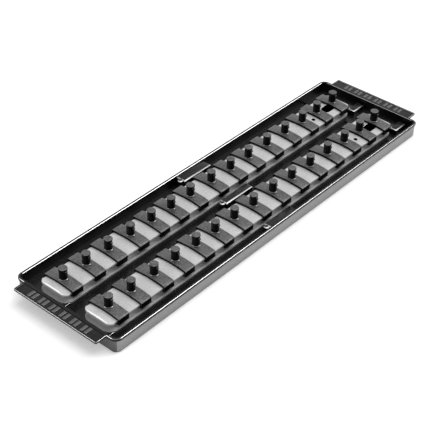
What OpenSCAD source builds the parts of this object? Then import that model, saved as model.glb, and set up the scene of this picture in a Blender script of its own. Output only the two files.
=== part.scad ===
// Long shallow tray that holds two lift-out rails of sliding socket clips.
// X runs across the tray, Y along it, Z up. Millimetres.
// The origin is the middle of the underside.

/* [Tray] */
// Outer length over the rim, without the end tabs
tray_l = 435.4; // [380:1:480]
// Height of the rim above the underside of the floor
tray_h = 12.4; // [8:0.1:20]
// Height of the foot rim that the floor stands on
skirt_h = 2.8; // [1:0.1:6]
// Thickness of the foot rim
skirt_t = 2.2; // [1.2:0.1:4]
// Thickness of the side walls
wall_t = 1.8; // [1.2:0.1:3]
// Thickness of the floor
floor_t = 1.9; // [1.2:0.1:3]
// Outer corner radius of the rim
corner_r = 7; // [4:0.5:14]
// How far the rim stands out past the wall
lip_out = 0.9; // [0.4:0.1:2]
// Height of the rim band
lip_h = 2; // [1:0.1:4]
// Height of the narrower bead on top of the rim
bead_h = 0.6; // [0.3:0.1:1]
// Step from the rim band in to the bead
bead_in = 0.5; // [0.2:0.1:0.8]
// Height of the drawn-in foot of the wall
base_h = 1.4; // [0.6:0.1:1.8]
// Step in from the wall to its foot
base_in = 0.8; // [0.3:0.1:1.2]

/* [Tabs] */
// Width of each end tab
tab_w = 97.2; // [60:0.2:100]
// How far a tab reaches past the rim
tab_reach = 11.3; // [8:0.1:20]
// Thickness of a tab
tab_t = 1.7; // [1.2:0.1:3]
// Corner radius of a tab
tab_r = 1.5; // [0.5:0.1:3]
// Width of the raised border round a tab panel
tab_border = 1.7; // [1:0.1:3]
// Depth of the sunk tab panel
panel_depth = 0.7; // [0.3:0.1:1.2]
// Plain raised grip bars on each tab panel
grip_count = 6; // [2:1:12]
// Width of one grip bar
grip_w = 7.6; // [2:0.2:9]
// Spacing of the grip bars
grip_pitch = 12.4; // [6:0.2:16]
// Height of the grip bars above the panel
grip_h = 0.4; // [0.2:0.1:0.7]
// Gap between a grip bar and the panel's edges
grip_gap = 1.1; // [0.5:0.1:3]
// Width of the shallow groove down the middle of a grip bar
grip_groove = 2; // [0.8:0.1:3]

/* [Rails] */
// Width of the free channel between a side wall and a rail's foot
side_gap = 14.2; // [8:0.1:18]
// How far the pair of rails stands off the middle, to the right
rows_off = 1.1; // [0:0.1:3]
// Width of the free channel between the two rails' feet
middle_gap = 18; // [12:0.2:24]
// Space between the near wall and the rails' near end
near_gap = 7.8; // [3:0.1:12]
// Space between the rails' far end and the far wall
far_gap = 19.2; // [15:0.5:30]
// Height of a rail at its crown
rail_h = 10.9; // [9:0.1:14]
// Width of the top flange
flange_w = 31.1; // [26:0.1:34]
// Thickness of the flange at its edge
flange_t = 1.9; // [1.4:0.1:3]
// Rise of the crowned top
rail_crown = 1.15; // [0.5:0.05:2.5]
// Width of the foot
foot_w = 34; // [30:0.5:40]
// Thickness of the foot
foot_t = 1.95; // [1.4:0.05:3]
// Width of the waist between flange and foot
waist_w = 23; // [18:0.5:26]
// Radius of the hollowed sides
waist_r = 3.6; // [2.5:0.1:4]
// The end caps that stop the clips stand in from the foot's side by this
cap_step = 0.5; // [0.3:0.1:1.4]
// Length of an end cap
cap_l = 4.6; // [3:0.1:6]
// An end cap's waist stands in from the foot's side by this
cap_waist_step = 3; // [2:0.1:4]
// Corner radius of the ends seen from above
end_r = 6.5; // [4:0.5:10]
// How far the foot reaches ahead of a rail's near end
foot_ahead = 1.6; // [0.5:0.1:3]
// Corner radius of the foot
foot_r = 9; // [4:0.5:12]
// Radius of the hollow curve between a rail's ends and its foot
cove_r = 6; // [4:0.5:12]
// How far that curve reaches out over the foot
cove_out = 2.1; // [1:0.1:3]
// Corner radius of a rail's neck, under its rounded ends
neck_r = 5.5; // [2:0.5:8]
// Rounding over the top of the ends
nose_r = 1.9; // [0.8:0.1:3]
// The end wall's waist stands back from the foot's end by this
waist_in = 0.8; // [0.2:0.1:2]
// Thickness of the rail's top over its hollow underside
top_t = 3.6; // [2:0.1:5]
// Thickness of the rail's side webs
web_t = 2.2; // [1.5:0.1:4]
// Thickness of the rail's end walls
end_t = 3; // [2:0.1:6]

/* [Rail holes] */
// Width of the hanging hole
hang_w = 10; // [5:0.5:14]
// Length of the hanging hole
hang_l = 16; // [8:0.5:24]
// Distance of the hanging hole from the rail's far end
hang_back = 21.5; // [14:0.5:40]
// Hanging hole stands right of the centre line by this
hang_off = 2.6; // [0:0.1:4]
// Diameter of the small round hole
pip_d = 4.2; // [2:0.1:6]
// Distance of the small hole from the rail's far end
pip_back = 48.6; // [30:0.5:80]
// Small hole stands right of the centre line by this
pip_off = 4.7; // [0:0.1:6]

/* [Clips] */
// Space from a rail's near end to the middle of the first clip's place
near_space = 13.7; // [12:0.1:20]
// Space from the middle of the last clip's place to a rail's far end
far_space = 11.3; // [11:0.1:20]
// Length of a clip along its rail
clip_l = 12; // [8:0.5:16]
// Thickness of the clip over the rail
clip_t = 2.35; // [1.6:0.05:3]
// Thickness of the clip's side legs
leg_t = 1.6; // [1.2:0.1:2.5]
// Depth of the clip's sides from the crown edge
leg_drop = 6.3; // [4:0.1:8]
// Reach of the hooks under the flange
hook_in = 1.9; // [1:0.1:2.6]
// Clearance round the rail inside a clip
clip_gap = 0.3; // [0.2:0.05:0.5]
// Chamfer along the clip's upper side edges
clip_bevel = 0.6; // [0.3:0.1:1.2]

/* [Posts] */
// Height of a post above its clip
post_h = 11; // [8:0.1:14]
// Diameter of the post at the top of its barrel
post_d = 7.4; // [5:0.1:9]
// Diameter of the post's round head
head_d = 8.1; // [6:0.1:10]
// Thickness of the head
head_t = 1.4; // [0.8:0.1:2]
// Diameter of the collar at the foot of the post
collar_d = 8.9; // [7:0.1:11]
// Height of the collar
collar_h = 0.7; // [0.4:0.1:1.5]
// Width of the slit down the front and back of the barrel
slit_w = 0.8; // [0.4:0.1:1.5]
// Depth of the slit
slit_d = 1.2; // [0.5:0.1:2]
// How far the locking nub stands out past the barrel
nub_out = 0.9; // [0.4:0.1:1.5]
// Width of the locking nub
nub_w = 2.2; // [1:0.1:3]
// Height of the locking nub
nub_h = 1.8; // [1:0.1:3]
// Space between head and nub
nub_below = 1; // [0.5:0.1:3]

/* [Floor blocks] */
// Space between a raised floor block and a rail's foot
block_gap = 4.85; // [2:0.05:5]
// Length of a raised floor block
block_l = 37.2; // [20:0.2:60]
// Height of the blocks above the floor
block_h = 9.3; // [4:0.1:10]
// Blocks stand this far from the tray's middle towards the far end
block_shift = 0.5; // [0:0.1:5]
// Wall left round a block's hollow underside
block_wall = 1.8; // [1.2:0.1:3]
// Diameter of the round boss at a block's near end
boss_d = 5; // [3:0.1:7]
// The boss's centre stands this far in front of its block
boss_front = 1.4; // [0.5:0.1:3]
// From a side block's free face in to the middle of its boss
boss_in = 4.1; // [3:0.1:6]

/* [Rail locks] */
// Width of an end lock's pad
pad_w = 7.4; // [4:0.1:10]
// Length of an end lock's pad
pad_l = 16.2; // [8:0.2:18]
// The pad starts this far right of the rail's centre line
pad_from = 14; // [8:0.2:18]
// Height of the locks above the floor
lock_h = 5.7; // [3:0.1:8]
// The pad starts this far in front of the rail's far end
pad_ahead = 0.4; // [0:0.1:2]
// Thickness of the lock's arm behind the rail
arm_t = 7.2; // [3:0.1:10]
// Gap between a rail's end and the lock's arm
arm_gap = 1.1; // [0.3:0.1:2]

/* [Ribs] */
// Thickness of the locating ribs
rib_t = 1.2; // [0.8:0.1:2]
// Height of the ribs at the near end of each rail
rib_h = 2.9; // [1:0.1:4]
// Height of the low cross ribs at the far end
sill_h = 1.2; // [0.6:0.1:2]
// Distance of the cross ribs from the rails' far end
sill_back = 15.5; // [8:0.5:30]
// Space between a cross rib and a rail's foot
sill_gap = 3.9; // [1:0.1:5]

/* [Hidden] */
// Fineness of round shapes
fine = 96;
// Overrun of cuts
over = 0.5;
// Space between a rail and what it stands on or beside
seat_gap = 0.3;
// Where each clip stands, off the even spacing, in shares of it
left_shares = [-0.02, -0.03, -0.05, -0.03, -0.04, -0.08, -0.11, -0.03, 0, -0.02, 0.03, 0.08, 0.13, 0.01, 0];
right_shares = [0.02, 0, 0.03, 0.01, 0, -0.05, -0.08, -0.08, -0.03, 0.02, 0.07, 0.09, 0.12, 0.07, 0];
clip_count = len(left_shares);
inner_w = 2 * foot_w + 2 * side_gap + middle_gap;
wall_w = inner_w + 2 * wall_t;
tray_w = wall_w + 2 * lip_out;
wall_l = tray_l - 2 * lip_out;
wall_r = corner_r - lip_out;
inner_l = wall_l - 2 * wall_t;
inner_r = wall_r - wall_t;
all_l = tray_l + 2 * tab_reach;
panel_w = tab_w - 2 * tab_border;
panel_l = tab_reach - tab_border;
row_gap = foot_w + middle_gap;
cap_w = foot_w - 2 * cap_step;
cap_waist = foot_w - 2 * cap_waist_step;
row_x = row_gap / 2;
left_x = rows_off - row_x;
right_x = rows_off + row_x;
rail_near = -inner_l / 2 + near_gap;
rail_far = inner_l / 2 - far_gap;
rail_l = rail_far - rail_near;
rail_y = (rail_near + rail_far) / 2;
floor_z = skirt_h + floor_t;
rim_z = skirt_h + tray_h;
rail_z = floor_z + seat_gap;
flange_top = rail_h - rail_crown;
flange_low = flange_top - flange_t;
crown_r = (pow(flange_w / 2, 2) + pow(rail_crown, 2)) / (2 * rail_crown);
hollow_w = waist_w - 2 * web_t;
hollow_l = rail_l - 2 * (waist_in + end_t);
bore_w = flange_w + 2 * clip_gap;
clip_w = bore_w + 2 * leg_t;
clip_crown_r = crown_r + clip_gap + clip_t;
clip_mid = rail_h + clip_gap + clip_t;
clip_edge = clip_mid - clip_crown_r + sqrt(pow(clip_crown_r, 2) - pow(clip_w / 2, 2));
leg_low = clip_edge - leg_drop;
mouth_w = bore_w - 2 * hook_in;
first_clip_y = rail_near + near_space;
last_clip_y = rail_far - far_space;
clip_pitch = (last_clip_y - first_clip_y) / (clip_count - 1);
block_near = block_shift - block_l / 2;
middle_block_w = middle_gap - 2 * block_gap;
left_block_w = side_gap + rows_off - block_gap;
right_block_w = side_gap - rows_off - block_gap;
block_places = [(left_block_w - inner_w) / 2, rows_off, (inner_w - right_block_w) / 2];
block_widths = [left_block_w, middle_block_w, right_block_w];
boss_places = [left_block_w - inner_w / 2 - boss_in, rows_off, inner_w / 2 - right_block_w + boss_in];
cove_dip = 0.15;
cove_lap = 0.15;
cove_mid = cove_r - cove_dip;
cove_h = sqrt(pow(cove_r, 2) - pow(cove_mid - cove_out, 2));

// A rounded rectangle standing on its middle
module slab(w, l, r, h) {
  linear_extrude(height = h) {
    square([w - 2 * r, l], center = true);
    square([w, l - 2 * r], center = true);
    for (sx = [-1, 1])
      for (sy = [-1, 1])
        translate([sx * (w / 2 - r), sy * (l / 2 - r)])
          circle(r = r, $fn = fine);
  }
}

// A plain block centred across and along, standing on z
module block(w, l, h) {
  translate([-w / 2, -l / 2, 0])
    cube([w, l, h]);
}

// Walls, foot rim, rim band, bead and tab plate before the inside is cut
module tray_outside() {
  slab(wall_w - 2 * base_in, wall_l - 2 * base_in, wall_r - base_in, rim_z - lip_h);
  translate([0, 0, base_h])
    slab(wall_w, wall_l, wall_r, rim_z - bead_h - base_h);
  translate([0, 0, rim_z - lip_h])
    slab(tray_w, tray_l, corner_r, lip_h - bead_h);
  translate([0, 0, rim_z - lip_h])
    slab(tray_w - 2 * bead_in, tray_l - 2 * bead_in, corner_r - bead_in, lip_h);
  translate([0, 0, rim_z - tab_t])
    slab(tab_w, all_l, tab_r, tab_t);
}

// The sunk panel in a tab and the plain bars that stand in it
module tab_panel_cut(side) {
  panel_y = side * (tray_l / 2 + panel_l / 2);
  difference() {
    translate([0, panel_y, rim_z - panel_depth])
      block(panel_w, panel_l, panel_depth + over);
    for (i = [0 : grip_count - 1])
      translate([(i - (grip_count - 1) / 2) * grip_pitch, panel_y, rim_z - panel_depth - over])
        difference() {
          block(grip_w, panel_l - 2 * grip_gap, grip_h + over);
          translate([0, 0, over])
            block(grip_groove, panel_l, grip_h + over);
        }
  }
}

// One raised floor block with its round boss
module floor_block(x, w, boss_x) {
  translate([x, block_shift, skirt_h])
    block(w + (x == rows_off ? 0 : over), block_l, floor_t + block_h);
  translate([boss_x, block_near - boss_front, skirt_h])
    cylinder(d = boss_d, h = floor_t + block_h, $fn = fine);
}

// The hollow under a raised floor block
module block_hollow(x, w) {
  translate([x, block_shift, -over])
    block(w - 2 * block_wall, block_l - 2 * block_wall, floor_z + block_h - block_wall + over);
}

// The L-shaped lock behind a rail's far end
module rail_lock(x) {
  translate([x + pad_from, rail_far - pad_ahead, skirt_h])
    cube([pad_w, pad_l, floor_t + lock_h]);
  translate([x - foot_w / 2, rail_far + arm_gap, skirt_h])
    cube([foot_w / 2 + pad_from + pad_w / 2, arm_t, floor_t + lock_h]);
}

// The short rib that carries on the line of a rail's foot to the near wall
module near_rib(x) {
  corner_back = foot_r - sqrt(pow(foot_r + seat_gap, 2) - pow(foot_r - rib_t / 2, 2));
  rib_far = rail_near - foot_ahead + corner_back;
  translate([x + foot_w / 2 - rib_t / 2, -inner_l / 2 - over, skirt_h])
    cube([rib_t, rib_far + inner_l / 2 + over, floor_t + rib_h]);
}

// The low ribs across the channels beside the rails
module sills() {
  middle_w = middle_gap - 2 * sill_gap;
  side_from = row_x + foot_w / 2 + sill_gap;
  left_w = inner_w / 2 - side_from + rows_off + over;
  right_w = inner_w / 2 - side_from - rows_off + over;
  translate([rows_off, rail_far - sill_back, skirt_h])
    block(middle_w, rib_t, floor_t + sill_h);
  translate([rows_off + side_from, rail_far - sill_back - rib_t / 2, skirt_h])
    cube([right_w, rib_t, floor_t + sill_h]);
  translate([rows_off - side_from - left_w, rail_far - sill_back - rib_t / 2, skirt_h])
    cube([left_w, rib_t, floor_t + sill_h]);
}

// Everything that stands on the tray's floor
module tray_floor_parts() {
  for (i = [0 : 2])
    floor_block(block_places[i], block_widths[i], boss_places[i]);
  for (x = [left_x, right_x]) {
    rail_lock(x);
    near_rib(x);
  }
  sills();
}

module tray() {
  color([0.06, 0.06, 0.065])
    difference() {
      union() {
        difference() {
          tray_outside();
          translate([0, 0, floor_z])
            slab(inner_w, inner_l, inner_r, rim_z);
          tab_panel_cut(1);
          tab_panel_cut(-1);
          translate([0, 0, -over])
            slab(inner_w - skirt_t, inner_l - skirt_t, inner_r, skirt_h + over);
        }
        intersection() {
          tray_floor_parts();
          slab(inner_w + wall_t, inner_l + wall_t, inner_r + wall_t / 2, rim_z);
        }
      }
      for (i = [0 : 2])
        block_hollow(block_places[i], block_widths[i]);
    }
}

// A crowned bar of the given width, seen from its end
module crowned_top(w) {
  intersection() {
    translate([0, rail_h - crown_r])
      circle(r = crown_r, $fn = 4 * fine);
    translate([-w / 2, flange_low])
      square([w, rail_h]);
  }
}

// The waist of the given width with its hollowed sides, seen from its end
module waist(w) {
  difference() {
    translate([-w / 2 - waist_r, foot_t / 2])
      square([w + 2 * waist_r, flange_low + flange_t / 2 - foot_t / 2]);
    for (s = [-1, 1])
      translate([s * (w / 2 + waist_r), foot_t + waist_r])
        circle(r = waist_r, $fn = fine);
    for (s = [-1, 1])
      translate([s * (w / 2 + waist_r), foot_t + waist_r + flange_t / 2])
        square([2 * waist_r - 2 * web_t, 2 * waist_r], center = true);
  }
}

// A bar with rounded corners and a rounded top edge, standing on its middle
module pillow(w, l, r, h, n) {
  slab(w, l, r, h - n);
  slab(w - 2 * n, l - 2 * n, r - n, h);
  for (sx = [-1, 1])
    for (sy = [-1, 1])
      translate([sx * (w / 2 - r), sy * (l / 2 - r), h - n])
        rotate_extrude($fn = fine)
          translate([r - n, 0])
            circle(r = n, $fn = fine);
  for (sy = [-1, 1])
    translate([0, sy * (l / 2 - n), h - n])
      rotate([0, 90, 0])
        cylinder(r = n, h = w - 2 * r, center = true, $fn = fine);
  for (sx = [-1, 1])
    translate([sx * (w / 2 - n), 0, h - n])
      rotate([90, 0, 0])
        cylinder(r = n, h = l - 2 * r, center = true, $fn = fine);
}

// A profile drawn across and up, stretched along the rail
module along(l) {
  rotate([90, 0, 0])
    linear_extrude(height = l, center = true)
      children();
}

// The hollow curve round the near end of a rail, from its neck down to its foot
module end_cove() {
  neck_y = -rail_l / 2 + waist_in + neck_r;
  neck_x = cap_waist / 2 - neck_r;
  difference() {
    translate([0, neck_y - (neck_r + cove_out + cove_lap) / 2, foot_t - over])
      block(2 * neck_x, neck_r + cove_out + cove_lap, cove_h + over);
    translate([0, neck_y - neck_r - cove_mid, foot_t + cove_h])
      rotate([0, 90, 0])
        cylinder(r = cove_r, h = 2 * neck_x + 2 * over, center = true, $fn = fine);
  }
  for (s = [-1, 1])
    translate([s * neck_x, neck_y, foot_t])
      difference() {
        translate([0, 0, -over])
          cylinder(r = neck_r + cove_out + cove_lap, h = cove_h + over, $fn = fine);
        translate([0, 0, cove_h])
          rotate_extrude($fn = fine)
            translate([neck_r + cove_mid, 0])
              circle(r = cove_r, $fn = fine);
      }
}

// The rail without its hollow and holes
module rail_solid() {
  translate([0, -foot_ahead / 2, 0])
    slab(foot_w, rail_l + foot_ahead, foot_r, foot_t);
  end_cove();
  intersection() {
    union() {
      along(rail_l)
        crowned_top(flange_w);
      for (s = [-1, 1])
        translate([0, s * (rail_l - cap_l) / 2, 0])
          along(cap_l)
            crowned_top(cap_w);
    }
    pillow(cap_w, rail_l, end_r - cap_step, rail_h, nose_r);
  }
  intersection() {
    union() {
      along(rail_l)
        waist(waist_w);
      for (s = [-1, 1])
        translate([0, s * (rail_l - cap_l) / 2, foot_t / 2])
          block(cap_waist, cap_l, flange_low + flange_t / 2 - foot_t / 2);
    }
    slab(cap_waist, rail_l - 2 * waist_in, neck_r, flange_low + flange_t / 2);
  }
}

module rail(x) {
  translate([x, rail_y, rail_z])
    difference() {
      rail_solid();
      translate([0, 0, -over])
        block(hollow_w, hollow_l, rail_h - top_t + over);
      translate([hang_off, rail_l / 2 - hang_back, 0])
        slab(hang_w, hang_l, hang_w / 2 - over, rail_h + over);
      translate([pip_off, rail_l / 2 - pip_back, 0])
        cylinder(d = pip_d, h = rail_h + over, $fn = fine);
    }
}

module rail_left() {
  color([0.72, 0.73, 0.74])
    rail(left_x);
}

module rail_right() {
  color([0.72, 0.73, 0.74])
    rail(right_x);
}

// Section of a clip: a crowned bridge with hooked legs
module clip_section() {
  difference() {
    intersection() {
      translate([0, clip_mid - clip_crown_r])
        circle(r = clip_crown_r, $fn = 4 * fine);
      polygon([
        [-clip_w / 2, leg_low],
        [clip_w / 2, leg_low],
        [clip_w / 2, clip_edge - clip_bevel],
        [clip_w / 2 - clip_bevel, clip_edge],
        [clip_w / 2 - clip_bevel, clip_mid + over],
        [-clip_w / 2 + clip_bevel, clip_mid + over],
        [-clip_w / 2 + clip_bevel, clip_edge],
        [-clip_w / 2, clip_edge - clip_bevel]
      ]);
    }
    intersection() {
      translate([0, rail_h - crown_r])
        circle(r = crown_r + clip_gap, $fn = 4 * fine);
      translate([-bore_w / 2, flange_low - clip_gap])
        square([bore_w, rail_h]);
    }
    translate([-mouth_w / 2, leg_low - over])
      square([mouth_w, flange_low - leg_low + over]);
  }
}

// The upright post with its head, collar, slits and locking nub
module post() {
  nub_z = post_h - head_t - nub_below - nub_h;
  translate([0, 0, -clip_t / 2])
    cylinder(d = collar_d, h = clip_t / 2 + collar_h, $fn = fine);
  difference() {
    cylinder(d = post_d, h = post_h - head_t / 2, $fn = fine);
    for (s = [-1, 1])
      translate([-slit_w / 2, s * (post_d / 2) - slit_d, collar_h])
        cube([slit_w, 2 * slit_d, post_h]);
  }
  translate([0, 0, post_h - head_t])
    cylinder(d = head_d, h = head_t, $fn = fine);
  translate([0, -nub_w / 2, nub_z])
    cube([post_d / 2 + nub_out, nub_w, nub_h]);
}

module clip(x, y) {
  color([0.1, 0.1, 0.105])
    translate([x, y, rail_z]) {
      rotate([90, 0, 0])
        linear_extrude(height = clip_l, center = true)
          clip_section();
      translate([0, 0, clip_mid])
        post();
    }
}

module clip_left(n) {
  clip(left_x, first_clip_y + (n - 1 + left_shares[n - 1]) * clip_pitch);
}

module clip_right(n) {
  clip(right_x, first_clip_y + (n - 1 + right_shares[n - 1]) * clip_pitch);
}

tray();
rail_left();
rail_right();
clip_left(1);  // clip_left_01
clip_left(2);  // clip_left_02
clip_left(3);  // clip_left_03
clip_left(4);  // clip_left_04
clip_left(5);  // clip_left_05
clip_left(6);  // clip_left_06
clip_left(7);  // clip_left_07
clip_left(8);  // clip_left_08
clip_left(9);  // clip_left_09
clip_left(10);  // clip_left_10
clip_left(11);  // clip_left_11
clip_left(12);  // clip_left_12
clip_left(13);  // clip_left_13
clip_left(14);  // clip_left_14
clip_left(15);  // clip_left_15
clip_right(1);  // clip_right_01
clip_right(2);  // clip_right_02
clip_right(3);  // clip_right_03
clip_right(4);  // clip_right_04
clip_right(5);  // clip_right_05
clip_right(6);  // clip_right_06
clip_right(7);  // clip_right_07
clip_right(8);  // clip_right_08
clip_right(9);  // clip_right_09
clip_right(10);  // clip_right_10
clip_right(11);  // clip_right_11
clip_right(12);  // clip_right_12
clip_right(13);  // clip_right_13
clip_right(14);  // clip_right_14
clip_right(15);  // clip_right_15
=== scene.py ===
import math

import bmesh
import bpy
from mathutils import Matrix, Vector


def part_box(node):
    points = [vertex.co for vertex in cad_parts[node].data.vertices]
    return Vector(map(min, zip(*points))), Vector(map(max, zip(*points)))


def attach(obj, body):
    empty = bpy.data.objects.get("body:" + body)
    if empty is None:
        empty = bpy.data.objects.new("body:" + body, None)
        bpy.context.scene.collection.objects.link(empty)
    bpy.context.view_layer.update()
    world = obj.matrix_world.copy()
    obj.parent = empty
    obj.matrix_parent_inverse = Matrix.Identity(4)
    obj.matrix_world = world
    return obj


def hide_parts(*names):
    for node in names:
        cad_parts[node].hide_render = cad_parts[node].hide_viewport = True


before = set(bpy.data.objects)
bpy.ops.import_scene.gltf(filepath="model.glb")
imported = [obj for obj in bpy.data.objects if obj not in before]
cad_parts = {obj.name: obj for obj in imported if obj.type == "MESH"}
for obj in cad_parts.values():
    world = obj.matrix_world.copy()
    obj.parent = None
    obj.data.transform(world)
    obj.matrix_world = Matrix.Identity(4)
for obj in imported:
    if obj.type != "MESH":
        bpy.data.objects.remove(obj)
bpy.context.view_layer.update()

MM = 0.001
scene = bpy.context.scene
scene.view_settings.view_transform = "Standard"


# The camera
PHOTO_PX = 430.0
SENSOR_MM = 36.0
FOCAL_PX = 1195.6
CAMERA_AZIMUTH = 39.72
CAMERA_ELEVATION = 37.50
CAMERA_ROLL = -1.77
CAMERA_PLACE_MM = (556.7, -698.2, 672.4)
CAMERA_REACH = (0.05, 20.0)


def photo_camera():
    """The camera that the photograph was taken with, found from the posts and the rim."""
    round_z = math.radians(CAMERA_AZIMUTH)
    lift = math.radians(CAMERA_ELEVATION)
    roll = math.radians(CAMERA_ROLL)
    right = Vector((math.cos(round_z), math.sin(round_z), 0.0))
    back = Vector((math.sin(round_z) * math.cos(lift), -math.cos(round_z) * math.cos(lift), math.sin(lift)))
    up = back.cross(right)
    turned_right = right * math.cos(roll) - up * math.sin(roll)
    turned_up = right * math.sin(roll) + up * math.cos(roll)
    data = bpy.data.cameras.new("photo_camera")
    data.sensor_fit = "HORIZONTAL"
    data.sensor_width = SENSOR_MM
    data.lens = FOCAL_PX * SENSOR_MM / PHOTO_PX
    data.clip_start, data.clip_end = CAMERA_REACH
    camera = bpy.data.objects.new("photo_camera", data)
    turn = Matrix((turned_right, turned_up, back)).transposed().to_4x4()
    camera.matrix_world = Matrix.Translation(Vector(CAMERA_PLACE_MM) * MM) @ turn
    scene.collection.objects.link(camera)
    scene.camera = camera


# Words for shaders. A colour Mix node has several sockets of each name, so they are known by number.
MIX_FACTOR, MIX_FIRST, MIX_SECOND, MIX_RESULT = 0, 6, 7, 2


class Value:
    """A node socket that takes part in Python expressions."""

    def __init__(self, book, socket):
        self.book, self.socket = book, socket

    def maths(self, operation, *inputs):
        return self.book.node("ShaderNodeMath", {"operation": operation}, inputs)

    def __add__(self, other):
        return self.maths("ADD", self, other)

    def __sub__(self, other):
        return self.maths("SUBTRACT", self, other)

    def __rsub__(self, other):
        return self.maths("SUBTRACT", other, self)

    def __mul__(self, other):
        return self.maths("MULTIPLY", self, other)

    __radd__ = __add__
    __rmul__ = __mul__

    def between(self, low, high):
        """0 below low, 1 above high, smooth between them."""
        return self.book.node("ShaderNodeMapRange", {"interpolation_type": "SMOOTHSTEP"},
                              {"Value": self, "From Min": low, "From Max": high})


class Book:
    """The nodes of one material, or of the world."""

    def __init__(self, owner, shader="Principled BSDF"):
        owner.use_nodes = True
        self.owner = owner
        self.tree = owner.node_tree
        self.shader = self.tree.nodes[shader]

    def node(self, kind, settings=None, inputs=(), out=0):
        made = self.tree.nodes.new(kind)
        for key, value in (settings or {}).items():
            setattr(made, key, value)
        pairs = inputs.items() if isinstance(inputs, dict) else enumerate(inputs)
        for key, value in pairs:
            self.put(made.inputs[key], value)
        return Value(self, made.outputs[out])

    def put(self, socket, value):
        if isinstance(value, Value):
            self.tree.links.new(value.socket, socket)
        else:
            socket.default_value = value

    def place(self):
        return self.node("ShaderNodeTexCoord", out="Object")

    def noise(self, scale, detail, rough):
        return self.node("ShaderNodeTexNoise", None,
                         {"Vector": self.place(), "Scale": scale, "Detail": detail, "Roughness": rough})

    def blend(self, amount, first, second):
        return self.node("ShaderNodeMix", {"data_type": "RGBA"},
                         {MIX_FACTOR: amount, MIX_FIRST: first, MIX_SECOND: second}, out=MIX_RESULT)

    def bump(self, height, strength, depth):
        return self.node("ShaderNodeBump", None, {"Height": height, "Strength": strength, "Distance": depth})

    def seen(self):
        """1 where the camera looks straight or in a reflection, 0 for the rays that only bring light."""
        return (self.node("ShaderNodeLightPath", out="Is Camera Ray")
                + self.node("ShaderNodeLightPath", out="Is Glossy Ray"))

    def finish(self, **sockets):
        for name, value in sockets.items():
            self.put(self.shader.inputs[name.replace("_", " ")], value)
        return self.owner


# The plastics
BLUE_SHARE = 1.01
DRIFT_SCALE, DRIFT_RANGE, DRIFT_SHARE = 28.0, (0.30, 0.70), 0.3
GRAIN_RANGE = (0.36, 0.64)
MARKS_SCALE, MARKS_RANGE = 90.0, (0.52, 0.75)
MARKS_ROUGHEN = 0.08
DRIFT_ROUGHENS = 0.06
GRAIN_BUMP = 0.5


def grey(level):
    return (level, level, level * BLUE_SHARE, 1.0)


def moulded_plastic(name, dark, light, roughness, specular, ior=1.5,
                    grain_mm=0.9, grain_depth_mm=0.016, foot=None):
    """Satin plastic with a fine moulded grain, a faint drift of tone and soft handling marks.

    The foot is a lower height, an upper height and the tone that the plastic takes below them, a painted
    shade that darkens it towards the bottom.
    """
    book = Book(bpy.data.materials.new(name))
    grain = book.noise(1.0 / (grain_mm * MM), detail=2.0, rough=0.6)
    drift = book.noise(DRIFT_SCALE, detail=3.0, rough=0.55)
    marks = book.noise(MARKS_SCALE, detail=4.0, rough=0.65).between(*MARKS_RANGE)
    tone = drift.between(*DRIFT_RANGE) * DRIFT_SHARE + grain.between(*GRAIN_RANGE) * (1.0 - DRIFT_SHARE)
    colour = book.blend(tone, grey(dark), grey(light))
    # painted shade: below the foot's heights the colour fades to the darker tone
    if foot:
        low, high, shade = foot
        height = book.node("ShaderNodeSeparateXYZ", None, (book.place(),), out="Z")
        colour = book.blend(height.between(low * MM, high * MM), grey(shade), colour)
    return book.finish(Base_Color=colour,
                       Roughness=roughness + marks * MARKS_ROUGHEN + (drift - 0.5) * DRIFT_ROUGHENS,
                       Normal=book.bump(grain, GRAIN_BUMP, grain_depth_mm * MM),
                       Specular_IOR_Level=specular, IOR=ior)


def glossy_edge(name, dark, light, roughness, ior):
    """A smooth, glossy edge of a moulding, bright where a lamp mirrors in it. Where it is given a colour
    lighter than the faces beside it, that colour is painted highlight.
    """
    return moulded_plastic(name, dark, light, roughness, specular=1.0, ior=ior, grain_depth_mm=0.0)


TRAY_FLAT = moulded_plastic("tray_flat", 0.002, 0.015, roughness=0.24, specular=0.18, grain_mm=1.6)
# painted shade: a darker copy of the tray plastic for the upright faces inside the tray, the rim's top and
# the strip under the bead
TRAY_SIDE = moulded_plastic("tray_inner_side_painted_shade", 0.001, 0.006, roughness=0.28, specular=0.20)
# painted light: the outer side walls are a much lighter, glossier copy of the black tray plastic, darker
# towards the bottom by painted shade
TRAY_OUTSIDE = moulded_plastic("tray_outer_side_painted_light", 0.060, 0.130, roughness=0.30, specular=1.0, ior=1.85,
                               grain_mm=1.6, grain_depth_mm=0.012, foot=(-4.0, 10.0, 0.018))
# painted shade: the end walls are a darker copy of the outer side walls, darker again towards the bottom
TRAY_END = moulded_plastic("tray_end_side_painted_shade", 0.030, 0.060, roughness=0.30, specular=0.8,
                           grain_mm=1.6, grain_depth_mm=0.012, foot=(-4.0, 10.0, 0.010))
TRAY_GRIP = moulded_plastic("tab_grip", 0.030, 0.055, roughness=0.40, specular=0.7)
RIM_EDGE = glossy_edge("glossy_rim", 0.008, 0.016, roughness=0.24, ior=2.1)
# painted highlight: the block edges are lighter than the tray plastic
BLOCK_EDGE = glossy_edge("block_edge_painted_highlight", 0.030, 0.060, roughness=0.26, ior=2.2)
# painted light: the clip tops are a lighter copy of the clip plastic than the sides; the grain in its tone
# is real
CLIP_TOP = moulded_plastic("clip_top_painted_light", 0.010, 0.100, roughness=0.42, specular=0.60,
                           grain_mm=1.8, grain_depth_mm=0.05)
# painted shade: the clip sides and post barrels are a near-black copy with little gloss
CLIP_SIDE = moulded_plastic("clip_side_painted_shade", 0.001, 0.004, roughness=0.30, specular=0.06)
# painted highlight: the clip edges are lighter than the clip sides
CLIP_EDGE = glossy_edge("clip_edge_painted_highlight", 0.030, 0.080, roughness=0.26, ior=1.65)
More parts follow.
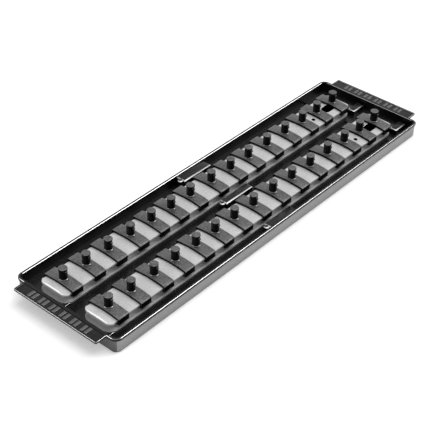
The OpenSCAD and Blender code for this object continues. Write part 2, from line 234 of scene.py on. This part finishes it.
# painted shade: the rail grey darkens below 8 mm towards its foot
RAIL_GREY = moulded_plastic("rail_grey", 0.50, 0.60, roughness=0.50, specular=0.35,
                            grain_mm=1.6, grain_depth_mm=0.012, foot=(6.0, 8.0, 0.36))
# painted highlight: the rail's nose edge is much lighter than the rail grey
RAIL_EDGE = glossy_edge("rail_nose_painted_highlight", 0.80, 0.86, roughness=0.28, ior=1.8)

# The materials of each kind of piece, in order, and the numbers that its faces know them by.
TRAY_LOOKS = [TRAY_FLAT, TRAY_SIDE, TRAY_OUTSIDE, TRAY_GRIP, RIM_EDGE, BLOCK_EDGE, TRAY_END]
ON_FLAT, ON_SIDE, ON_OUTSIDE, ON_GRIP, ON_RIM, ON_BLOCK, ON_END = range(len(TRAY_LOOKS))
RAIL_LOOKS = [RAIL_GREY, RAIL_EDGE, CLIP_SIDE]
ON_NOSE, ON_HOLE_SHADE = RAIL_LOOKS.index(RAIL_EDGE), RAIL_LOOKS.index(CLIP_SIDE)
CLIP_LOOKS = [CLIP_TOP, CLIP_SIDE, CLIP_EDGE]
ON_CLIP_TOP, ON_CLIP_SIDE, ON_CLIP_EDGE = range(len(CLIP_LOOKS))


# Words for all pieces
MERGE_MM = 0.002  # vertices nearer than this are one
FLAT_TURN = 1.0  # degrees: faces that turn less are joined
CORNER_TURN = 32.0  # degrees: corners that turn more can be rounded
SHARP_TURN = 40.0  # degrees: the shading breaks where a corner turns more
UPRIGHT_TILT = 0.6  # how far up or down the normal of an upright face may point
LEVEL_SLACK_MM = 0.05  # how near a level counts as at it


def box_mm(node):
    """The lower and the upper corner of a CAD node's box, in millimetres."""
    return [Vector(corner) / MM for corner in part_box(node)]


def merged_copy(node):
    """A bmesh copy of a CAD node with its doubles merged and its flat faces joined."""
    bm = bmesh.new()
    bm.from_mesh(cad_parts[node].data)
    bmesh.ops.remove_doubles(bm, verts=bm.verts, dist=MERGE_MM * MM)
    bmesh.ops.dissolve_limit(bm, angle_limit=math.radians(FLAT_TURN), verts=bm.verts, edges=bm.edges)
    return bm


def middle(part):
    """The middle of a face or an edge, in millimetres."""
    return sum((vert.co for vert in part.verts), Vector()) / len(part.verts) / MM


def upright(face):
    return abs(face.normal.z) < UPRIGHT_TILT


def at_level(at, level):
    return abs(at.z - level) < LEVEL_SLACK_MM


def soften(bm, width, chosen=None, look=-1, segments=2, clamp=True):
    """Rounds the chosen outward corners, or all corners, and gives the new faces a look."""
    corners = [edge for edge in bm.edges
               if len(edge.link_faces) == 2 and edge.calc_face_angle(0.0) > math.radians(CORNER_TURN)
               and (chosen is None or (edge.is_convex and chosen(middle(edge))))]
    bmesh.ops.bevel(bm, geom=corners, offset=width * MM, offset_type="OFFSET", affect="EDGES",
                    segments=segments, profile=0.5, clamp_overlap=clamp, material=look)


def chamfer(bm, width, chosen, look):
    """Cuts the chosen outward corners off flat, at their full width."""
    soften(bm, width, chosen, look, segments=1, clamp=False)


def piece(name, bm, node, looks, faceted=()):
    """Makes an object that stands in for a node and rides on the body of that name.

    Faces with a faceted look are shaded flat, so that a long chamfer mirrors a lamp evenly.
    """
    for face in bm.faces:
        face.smooth = face.material_index not in faceted
    for edge in bm.edges:
        edge.smooth = len(edge.link_faces) == 2 and edge.calc_face_angle(0.0) < math.radians(SHARP_TURN)
    mesh = bpy.data.meshes.new(name)
    bm.to_mesh(mesh)
    if "custom_normal" in mesh.attributes:
        mesh.attributes.remove(mesh.attributes["custom_normal"])
    made = bpy.data.objects.new(name, mesh)
    for look in looks:
        mesh.materials.append(look)
    scene.collection.objects.link(made)
    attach(made, node)
    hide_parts(node)


# The tray
TAB_REACH_MM = 11.3  # how far a tab reaches past the rim
RIM_WIDTH_MM = 2.7  # from the rim's outer edge to the inner wall
CORNER_RADIUS_MM = 7.0
TRAY_CORNER_MM = box_mm("tray")[1]
RIM_MM = TRAY_CORNER_MM.z
HALF_WIDTH_MM = TRAY_CORNER_MM.x
HALF_LENGTH_MM = TRAY_CORNER_MM.y - TAB_REACH_MM
INNER_WALL_MM = (HALF_WIDTH_MM - RIM_WIDTH_MM, HALF_LENGTH_MM - RIM_WIDTH_MM)
WALL_SLACK_MM = 0.1
CORNER_MM = (HALF_WIDTH_MM - CORNER_RADIUS_MM, HALF_LENGTH_MM - CORNER_RADIUS_MM)
# Distances from the rectangle through the middles of the round corners.
INNER_RIM_MM = 5.0
OUTER_WALL_MM = 4.5
BEAD_MM = 1.5  # from the rim's top down to the bead's foot
# the strip under the bead is painted shade
SHADED_MM = 2.2  # from the rim's top down to the foot of the dark strip
TAB_SLACK_MM = 0.3  # from the line where a tab starts
TAB_HALF_MM = 47.5  # half the width of a tab's sunk panel, with room for its border
BORDER_SLACK_MM = 1.3  # to either side of the line where a tab starts
GRIP_BELOW_MM = 0.3  # from the rim's top down to the top of a grip bar
GRIP_TOP_MM = RIM_MM - GRIP_BELOW_MM
BORDER_CHAMFER = 0.25
INNER_RIM_CHAMFER = 0.34
OUTER_RIM_CHAMFER = 0.32
GRIP_CHAMFER = 0.22
# Top height, width of the slope and how much it is flattened, for the blocks, the locks and the ribs.
FLOOR_TOPS_MM = ((14.0, 1.05, 0.45), (10.4, 1.0, 0.45), (7.6, 0.12, 0.0))
SLOPE_SLACK_MM = 0.02
CUT_SLACK_MM = 0.001


def over_wall(at):
    """Over the inner wall of the tray or further out."""
    return abs(at.x) > INNER_WALL_MM[0] - WALL_SLACK_MM or abs(at.y) > INNER_WALL_MM[1] - WALL_SLACK_MM


def from_corner(at):
    """How far a place lies outside the rectangle through the middles of the tray's round corners."""
    return Vector((max(abs(at.x) - CORNER_MM[0], 0.0), max(abs(at.y) - CORNER_MM[1], 0.0))).length


def on_rim(at):
    return at.z > RIM_MM - LEVEL_SLACK_MM


def on_tab(at):
    return abs(at.y) > HALF_LENGTH_MM + TAB_SLACK_MM


def inner_rim(at):
    """The edge along the top of the walls, inside."""
    return on_rim(at) and over_wall(at) and from_corner(at) < INNER_RIM_MM


def outer_rim(at):
    """The edges on top of the rim and of the tabs, outside."""
    return on_rim(at) and from_corner(at) > INNER_RIM_MM and not tab_border(at)


def tab_border(at):
    """The edges where a tab's sunk panel meets the rim."""
    return on_rim(at) and abs(abs(at.y) - HALF_LENGTH_MM) < BORDER_SLACK_MM and abs(at.x) < TAB_HALF_MM


def grip_top(at):
    """The tops of the grip bars, which stand on the tabs' sunk panels."""
    return at_level(at, GRIP_TOP_MM) and on_tab(at)


def outer_wall(face):
    """The upright faces outside the tray's walls, below the bead under the rim."""
    at = middle(face)
    return upright(face) and at.z < RIM_MM - BEAD_MM and from_corner(at) > OUTER_WALL_MM


def slope_floor_parts(bm, top, width, lift):
    """Shallow slopes round the tops of the parts on the floor that end at one height, in the lighter block
    edge colour, a painted highlight.
    """
    chamfer(bm, width, lambda at: at_level(at, top) and not over_wall(at), ON_BLOCK)
    for vert in bm.verts:
        at = vert.co / MM
        if abs(at.z - (top - width)) < SLOPE_SLACK_MM and not over_wall(at):
            vert.co.z += lift * MM


def cut_outer_wall(bm):
    """Cuts the outer wall all round, so that the strip right under the bead can be darker, a painted shade
    under the bead.
    """
    for part in bm.verts[:] + bm.edges[:] + bm.faces[:]:
        part.tag = False
    for face in bm.faces:
        if outer_wall(face):
            for part in [face] + face.edges[:] + face.verts[:]:
                part.tag = True
    wall = [part for part in bm.verts[:] + bm.edges[:] + bm.faces[:] if part.tag]
    bmesh.ops.bisect_plane(bm, geom=wall, dist=CUT_SLACK_MM * MM, plane_co=(0, 0, (RIM_MM - SHADED_MM) * MM),
                           plane_no=(0, 0, 1))


def tray_look(face):
    """The look of a face that no chamfer made. The outer, end and inner walls and the rim's top take lighter
    or darker copies of one black plastic, which is painted light and shade.
    """
    at = middle(face)
    if outer_wall(face):
        # painted light and shade: walls facing the ends take the darker copy, walls facing the sides the
        # lighter one
        return ON_END if abs(face.normal.y) > abs(face.normal.x) else ON_OUTSIDE
    # painted shade on upright faces and on the rim's top
    if upright(face) or (on_rim(at) and not on_tab(at)):
        return ON_SIDE
    return ON_GRIP if grip_top(at) else ON_FLAT


def tray_shell():
    bm = merged_copy("tray")
    chamfer(bm, BORDER_CHAMFER, tab_border, ON_RIM)
    chamfer(bm, INNER_RIM_CHAMFER, inner_rim, ON_RIM)
    chamfer(bm, OUTER_RIM_CHAMFER, outer_rim, ON_RIM)
    chamfer(bm, GRIP_CHAMFER, grip_top, ON_GRIP)
    for top, width, lift in FLOOR_TOPS_MM:
        slope_floor_parts(bm, top, width, lift)
    cut_outer_wall(bm)
    for face in bm.faces:
        if face.material_index == ON_FLAT:
            face.material_index = tray_look(face)
    piece("tray_shell", bm, "tray", TRAY_LOOKS, faceted=(ON_RIM,))


# The rails
RAIL_CHAMFER = 0.4
NOSE_REACH_MM = 6.8  # from the near end
NOSE_DEPTH_MM = 1.7  # from the top
NOSE_TILT = (0.38, 0.94)  # how far up the faces of the rounded edge point
HOLES_FROM_END_MM = (5.8, 55.8)  # the stretch with the holes, from the far end
HOLES_HALF_MM = 9.0  # to either side of the centre line


def nose_edge(face, low, high):
    """The rounded upper edge of a rail's near end."""
    at, tilt = middle(face), face.normal
    at_nose = at.y < low.y + NOSE_REACH_MM and at.z > high.z - NOSE_DEPTH_MM
    return at_nose and NOSE_TILT[0] < tilt.z < NOSE_TILT[1] and tilt.y < 0.0


def in_a_hole(face, low, high):
    """The upright faces inside the small hole and the hanging hole, which lie on the rail's centre line,
    painted near black as shade.
    """
    at = middle(face)
    on_line = abs(at.x - (low.x + high.x) / 2) < HOLES_HALF_MM
    return upright(face) and on_line and HOLES_FROM_END_MM[0] < high.y - at.y < HOLES_FROM_END_MM[1]


def rail_bar(side):
    node = "rail_" + side
    bm = merged_copy(node)
    soften(bm, RAIL_CHAMFER)
    low, high = box_mm(node)
    for face in bm.faces:
        # painted shade: the holes' inner faces take the near-black clip side look
        if in_a_hole(face, low, high):
            face.material_index = ON_HOLE_SHADE
        # painted highlight on the rounded edge of the nose
        elif nose_edge(face, low, high):
            face.material_index = ON_NOSE
    piece("rail_bar_" + side, bm, node, RAIL_LOOKS)


# The clips with their posts
CLIPS_ON_A_RAIL = 15
CLIP_CHAMFER = 0.3
POST_OVER_COLLAR_MM = 10.3  # from the collar's top to the post's
COLLAR_REACH_MM = 4.1  # how far from the post's middle the collar's edge is, at least
COLLAR_CHAMFER = 0.28


def post_clips():
    """All clips are copies of the first one, each moved to the place of its own node."""
    bm = merged_copy("clip_left_01")
    low, high = (Vector(corner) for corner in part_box("clip_left_01"))
    post_middle = (low + high) / 2 / MM
    collar_top = high.z / MM - POST_OVER_COLLAR_MM

    def collar_edge(at):
        """The upper edge of the low collar round a post's foot."""
        return at_level(at, collar_top) and (at - post_middle).to_2d().length > COLLAR_REACH_MM

    soften(bm, CLIP_CHAMFER, lambda at: not collar_edge(at), ON_CLIP_EDGE)
    soften(bm, COLLAR_CHAMFER, collar_edge, ON_CLIP_EDGE, segments=1)
    for face in bm.faces:
        # painted light and shade: faces that look up keep the lighter top, the others take the darker side
        # copy
        if face.material_index == ON_CLIP_TOP and face.normal.z < UPRIGHT_TILT:
            face.material_index = ON_CLIP_SIDE
    for side in ("left", "right"):
        for number in range(1, CLIPS_ON_A_RAIL + 1):
            node = "clip_%s_%02d" % (side, number)
            own = bm.copy()
            bmesh.ops.translate(own, verts=own.verts, vec=Vector(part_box(node)[0]) - low)
            piece("post_" + node, own, node, CLIP_LOOKS)


# The floor and the light
FLOOR_HALF = 6.0
FLOOR_COLOUR = (0.88, 0.88, 0.885, 1)
FLOOR_ROUGHNESS = 0.9
FLOOR_GLOW = 0.25
WORLD_LEVEL = 0.5
BLACK, WHITE = (0, 0, 0, 1), (1, 1, 1, 1)
# Name, place, width and height, and power. All lamps look at the origin.
SOFT_LAMPS = (("overhead_soft", (0.30, 1.00, 4.20), (3.4, 3.4), 88.0),
              ("high_far", (1.30, 3.15, 3.65), (2.0, 2.0), 44.0),
              ("low_near", (-1.20, -3.60, 1.60), (2.0, 2.0), 44.0))
# These show only as reflections, in the chamfers that mirror them to the camera's side.
GLEAM_LAMPS = (("gleam_far_right", (2.82, 2.87, 2.91), (2.6, 1.8), 150.0),
               ("gleam_near_left", (-2.85, -3.35, 2.40), (2.2, 2.2), 62.0))


def studio_floor():
    """A white floor that glows a little where it is looked at, so that it ends as white as the world."""
    book = Book(bpy.data.materials.new("studio_floor"))
    material = book.finish(Base_Color=FLOOR_COLOUR, Roughness=FLOOR_ROUGHNESS, Emission_Strength=FLOOR_GLOW,
                           Emission_Color=book.blend(book.seen(), BLACK, WHITE))
    bm = bmesh.new()
    bmesh.ops.create_grid(bm, x_segments=1, y_segments=1, size=FLOOR_HALF)
    mesh = bpy.data.meshes.new("studio_floor")
    bm.to_mesh(mesh)
    mesh.materials.append(material)
    made = bpy.data.objects.new("studio_floor", mesh)
    scene.collection.objects.link(made)


def studio_world():
    """A white world that lights the pieces at a lower level than it is seen at."""
    book = Book(bpy.data.worlds.new("studio_world"), "Background")
    scene.world = book.finish(Color=WHITE, Strength=book.seen() * (1.0 - WORLD_LEVEL) + WORLD_LEVEL)


def softbox(name, place, size, power, only_gleams):
    data = bpy.data.lights.new(name, "AREA")
    data.shape = "RECTANGLE"
    data.size, data.size_y = size
    data.energy = power
    lamp = bpy.data.objects.new(name, data)
    lamp.location = place
    lamp.rotation_euler = (-Vector(place)).to_track_quat("-Z", "Y").to_euler()
    lamp.visible_diffuse = not only_gleams
    scene.collection.objects.link(lamp)


photo_camera()
tray_shell()
for side in ("left", "right"):
    rail_bar(side)
post_clips()
studio_floor()
studio_world()
for lamps, only_gleams in ((SOFT_LAMPS, False), (GLEAM_LAMPS, True)):
    for name, place, size, power in lamps:
        softbox(name, place, size, power, only_gleams)
